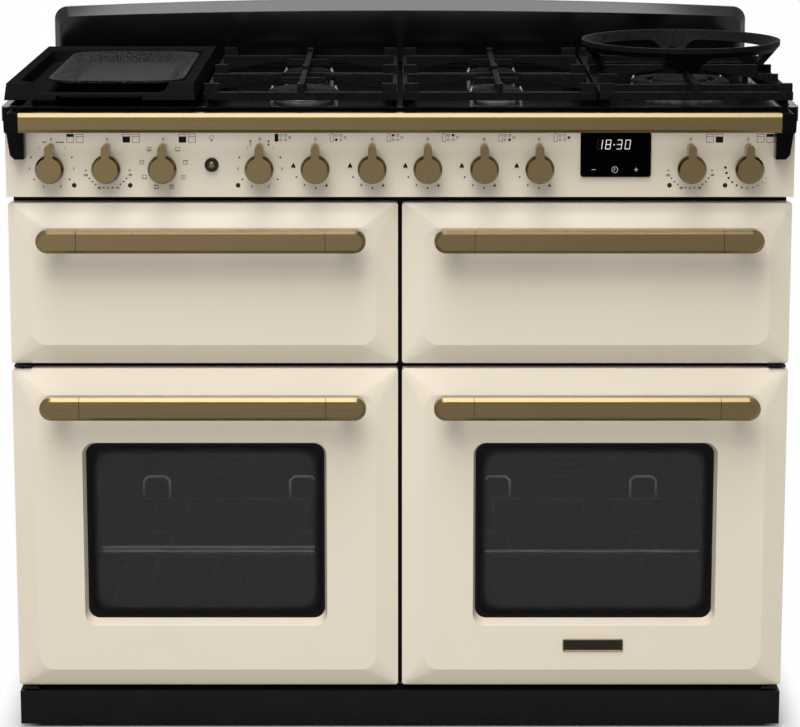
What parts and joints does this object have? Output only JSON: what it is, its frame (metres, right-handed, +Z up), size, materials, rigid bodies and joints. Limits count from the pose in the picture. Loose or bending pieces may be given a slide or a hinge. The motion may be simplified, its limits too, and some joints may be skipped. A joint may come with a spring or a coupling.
{
  "type": "range cooker",
  "caption": "Freestanding range cooker with side-hinged ovens, glide-out grill, drop-door slow oven, gas hob with cast supports, griddle and wok ring.",
  "frame": {"origin": "centre of the footprint's bounding box, on the floor", "axes": "+X to the cooker's right seen from the front, +Y to the back, +Z up"},
  "size_m": [1.107, 0.706, 0.9999],
  "materials": {
    "cream_enamel": "gloss vitreous enamel",
    "black_gloss_enamel": "gloss vitreous enamel",
    "black_satin_paint": "satin",
    "oven_enamel": "gloss speckled enamel",
    "brushed_brass": "brushed, antique tone",
    "cast_iron": "matt enamelled casting",
    "griddle_coating": "fine-textured non-stick coating",
    "galvanised_steel": "zinc coated sheet",
    "burner_aluminium": "machined",
    "bright_wire": "bright chromed wire",
    "dark_glass": "tinted, polished",
    "display_glass": "gloss black",
    "seal_rubber": "matt",
    "black_plastic": "matt moulded",
    "element_steel": "dull heat-tinted",
    "pan_enamel": "gloss enamel"
  },
  "bodies": {
    "cooker_body": {"base_chassis": "galvanised_steel", "side_panels": "black_satin_paint", "rear_cover": "galvanised_steel", "front_frame": "black_satin_paint", "plinth": "black_satin_paint", "hob_deck": "black_gloss_enamel", "rear_upstand": "black_gloss_enamel", "burner_heads": "burner_aluminium", "burner_caps": "cast_iron", "control_panel": "cream_enamel", "clock_display": "display_glass", "handrail": "brushed_brass", "handrail_brackets": "black_gloss_enamel", "grill_chamber": "oven_enamel", "heating_elements": "element_steel", "slow_cook_cavity": "oven_enamel", "oven_cavities": "oven_enamel", "oven_racks": "bright_wire", "fan_baffles": "oven_enamel", "fan_motors": "galvanised_steel", "door_seals": "seal_rubber", "drawer_rails": "galvanised_steel", "gas_manifold": "galvanised_steel", "control_switches": "black_plastic"},
    "rear_rollers": {"rear_rollers": "black_plastic"},
    "left_fan": {"left_fan": "galvanised_steel"},
    "right_fan": {"right_fan": "galvanised_steel"},
    "light_button": {"light_button": "brushed_brass"},
    "grill_drawer": {"drawer_front": "cream_enamel", "drawer_handle": "brushed_brass", "drawer_carriage": "galvanised_steel"},
    "grill_pan": {"grill_pan": "pan_enamel"},
    "drawer_runners": {"runner_members": "galvanised_steel"},
    "left_oven_door": {"left_door": "cream_enamel", "left_door_glass": "dark_glass", "left_door_liner": "oven_enamel", "left_door_handle": "brushed_brass"},
    "right_oven_door": {"right_door": "cream_enamel", "right_door_glass": "dark_glass", "right_door_liner": "oven_enamel", "right_door_handle": "brushed_brass"},
    "slow_cook_door": {"slow_door": "cream_enamel", "slow_door_handle": "brushed_brass"},
    "pan_support_left": {"pan_support_left": "cast_iron"},
    "pan_support_centre": {"pan_support_centre": "cast_iron"},
    "pan_support_right": {"pan_support_right": "cast_iron"},
    "wok_ring": {"wok_ring": "cast_iron"},
    "griddle_cradle": {"griddle_cradle": "cast_iron"},
    "griddle_plate": {"griddle_plate": "griddle_coating"},
    "knob_grill": {"knob_grill": "brushed_brass"},
    "knob_left_temperature": {"knob_left_temperature": "brushed_brass"},
    "knob_left_function": {"knob_left_function": "brushed_brass"},
    "knob_griddle": {"knob_griddle": "brushed_brass"},
    "knob_right_temperature": {"knob_right_temperature": "brushed_brass"},
    "knob_slow_cook": {"knob_slow_cook": "brushed_brass"},
    "knob_burner_1": {"knob_burner_1": "brushed_brass"},
    "knob_burner_2": {"knob_burner_2": "brushed_brass"},
    "knob_burner_3": {"knob_burner_3": "brushed_brass"},
    "knob_burner_4": {"knob_burner_4": "brushed_brass"},
    "knob_burner_5": {"knob_burner_5": "brushed_brass"}
  },
  "joints": [
    {"name": "left_door_hinge", "type": "hinge", "parent": "cooker_body", "child": "left_oven_door", "pos_m": [-0.5355, -0.253, 0.296], "axis": [0, 0, -1], "range_deg": [0, 110]},
    {"name": "right_door_hinge", "type": "hinge", "parent": "cooker_body", "child": "right_oven_door", "pos_m": [0.5305, -0.253, 0.296], "axis": [0, 0, 1], "range_deg": [0, 110]},
    {"name": "slow_door_hinge", "type": "hinge", "parent": "cooker_body", "child": "slow_cook_door", "pos_m": [0.2735, -0.251, 0.551], "axis": [1, 0, 0], "range_deg": [0, 90]},
    {"name": "grill_drawer_slide", "type": "slide", "parent": "cooker_body", "child": "grill_drawer", "axis": [0, -1, 0], "range_m": [0, 0.36]},
    {"name": "runner_slide", "type": "slide", "parent": "cooker_body", "child": "drawer_runners", "axis": [0, -1, 0], "range_m": [0, 0.18]},
    {"name": "grill_pan_lift", "type": "slide", "parent": "grill_drawer", "child": "grill_pan", "axis": [0, 0, 1], "range_m": [0, 0.08]},
    {"name": "knob_grill_turn", "type": "hinge", "parent": "cooker_body", "child": "knob_grill", "pos_m": [-0.4875, -0.279, 0.8188], "axis": [0, -1, 0], "range_deg": [-150, 150]},
    {"name": "knob_left_temperature_turn", "type": "hinge", "parent": "cooker_body", "child": "knob_left_temperature", "pos_m": [-0.4095, -0.279, 0.8188], "axis": [0, 1, 0], "range_deg": [0, 250]},
    {"name": "knob_left_function_turn", "type": "hinge", "parent": "cooker_body", "child": "knob_left_function", "pos_m": [-0.3315, -0.279, 0.8188], "axis": [0, 1, 0], "continuous": true},
    {"name": "knob_griddle_turn", "type": "hinge", "parent": "cooker_body", "child": "knob_griddle", "pos_m": [-0.1975, -0.279, 0.8188], "axis": [0, -1, 0], "range_deg": [-150, 150]},
    {"name": "knob_right_temperature_turn", "type": "hinge", "parent": "cooker_body", "child": "knob_right_temperature", "pos_m": [0.4015, -0.279, 0.8188], "axis": [0, 1, 0], "range_deg": [0, 250]},
    {"name": "knob_slow_cook_turn", "type": "hinge", "parent": "cooker_body", "child": "knob_slow_cook", "pos_m": [0.4815, -0.279, 0.8188], "axis": [0, 1, 0], "range_deg": [0, 250]},
    {"name": "knob_burner_1_turn", "type": "hinge", "parent": "cooker_body", "child": "knob_burner_1", "pos_m": [-0.12, -0.279, 0.8188], "axis": [0, -1, 0], "range_deg": [0, 210]},
    {"name": "knob_burner_2_turn", "type": "hinge", "parent": "cooker_body", "child": "knob_burner_2", "pos_m": [-0.041, -0.279, 0.8188], "axis": [0, -1, 0], "range_deg": [0, 210]},
    {"name": "knob_burner_3_turn", "type": "hinge", "parent": "cooker_body", "child": "knob_burner_3", "pos_m": [0.036, -0.279, 0.8188], "axis": [0, -1, 0], "range_deg": [0, 210]},
    {"name": "knob_burner_4_turn", "type": "hinge", "parent": "cooker_body", "child": "knob_burner_4", "pos_m": [0.1145, -0.279, 0.8188], "axis": [0, -1, 0], "range_deg": [0, 210]},
    {"name": "knob_burner_5_turn", "type": "hinge", "parent": "cooker_body", "child": "knob_burner_5", "pos_m": [0.191, -0.279, 0.8188], "axis": [0, -1, 0], "range_deg": [0, 210]},
    {"name": "light_button_push", "type": "slide", "parent": "cooker_body", "child": "light_button", "axis": [0, 1, 0], "range_m": [0, 0.003], "stiffness_N_per_m": 400, "springref_m": -0.001},
    {"name": "left_fan_spin", "type": "hinge", "parent": "cooker_body", "child": "left_fan", "pos_m": [-0.2835, 0.201, 0.305], "axis": [0, 1, 0], "continuous": true},
    {"name": "right_fan_spin", "type": "hinge", "parent": "cooker_body", "child": "right_fan", "pos_m": [0.2785, 0.201, 0.305], "axis": [0, 1, 0], "continuous": true},
    {"name": "rear_roller_spin", "type": "hinge", "parent": "cooker_body", "child": "rear_rollers", "pos_m": [-0.0025, 0.271, 0.02], "axis": [1, 0, 0], "continuous": true},
    {"name": "pan_support_left_lift", "type": "slide", "parent": "cooker_body", "child": "pan_support_left", "axis": [0, 0, 1], "range_m": [0, 0.15]},
    {"name": "pan_support_centre_lift", "type": "slide", "parent": "cooker_body", "child": "pan_support_centre", "axis": [0, 0, 1], "range_m": [0, 0.02]},
    {"name": "pan_support_right_lift", "type": "slide", "parent": "cooker_body", "child": "pan_support_right", "axis": [0, 0, 1], "range_m": [0, 0.15]},
    {"name": "griddle_cradle_lift", "type": "slide", "parent": "cooker_body", "child": "griddle_cradle", "axis": [0, 0, 1], "range_m": [0, 0.15]},
    {"name": "wok_ring_lift", "type": "slide", "parent": "pan_support_right", "child": "wok_ring", "axis": [0, 0, 1], "range_m": [0, 0.15]},
    {"name": "griddle_plate_lift", "type": "slide", "parent": "griddle_cradle", "child": "griddle_plate", "axis": [0, 0, 1], "range_m": [0, 0.15]}
  ],
  "couplings": [
    {"joint": "runner_slide", "follows": "grill_drawer_slide", "ratio": 0.5}
  ]
}
